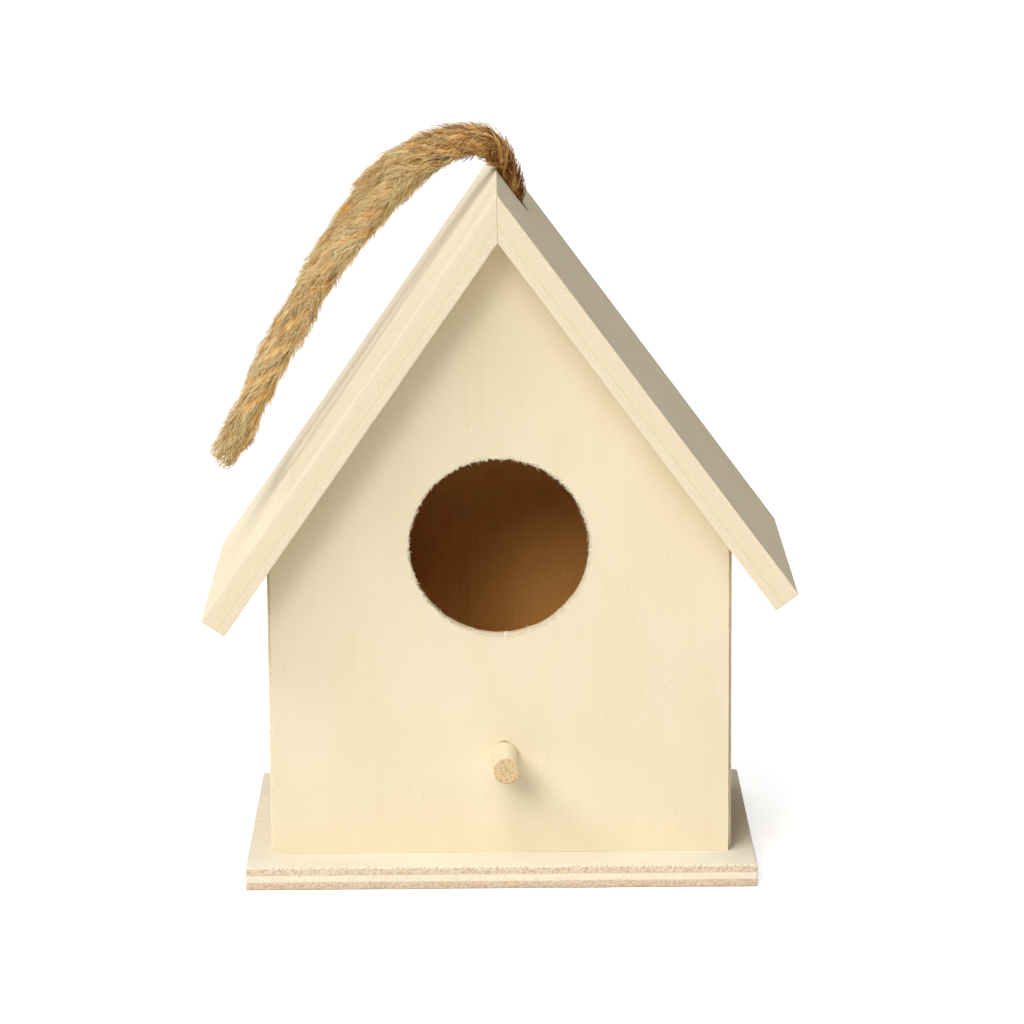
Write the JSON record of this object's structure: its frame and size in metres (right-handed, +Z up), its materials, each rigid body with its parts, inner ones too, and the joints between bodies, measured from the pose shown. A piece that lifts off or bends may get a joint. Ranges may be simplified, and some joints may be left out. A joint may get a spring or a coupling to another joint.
{
  "type": "birdhouse",
  "caption": "Small unfinished plywood birdhouse with a gabled roof, round entry hole, dowel perch and a jute hanging loop over the ridge.",
  "frame": {"origin": "middle of the base board's underside", "axes": "+Z up; the entry hole and perch face -Y; +X is to the right of a viewer who faces the front"},
  "size_m": [0.127, 0.083, 0.1588],
  "materials": {
    "plywood": "bare sanded plywood, pale",
    "wall_plywood": "bare sanded plywood, pale",
    "roof_plywood": "bare sanded plywood, pale, plies showing on the edges",
    "dowel": "bare turned softwood",
    "pin_steel": "plain drawn wire",
    "jute": "twisted hairy jute"
  },
  "bodies": {
    "root": {"base_board": "plywood", "front_panel": "plywood", "back_panel": "plywood", "left_wall": "wall_plywood", "right_wall": "wall_plywood", "left_roof_board": "roof_plywood", "right_roof_board": "roof_plywood", "perch_dowel": "dowel", "base_pins": "pin_steel", "rope_knot": "jute", "hanging_rope": "jute"}
  },
  "joints": []
}
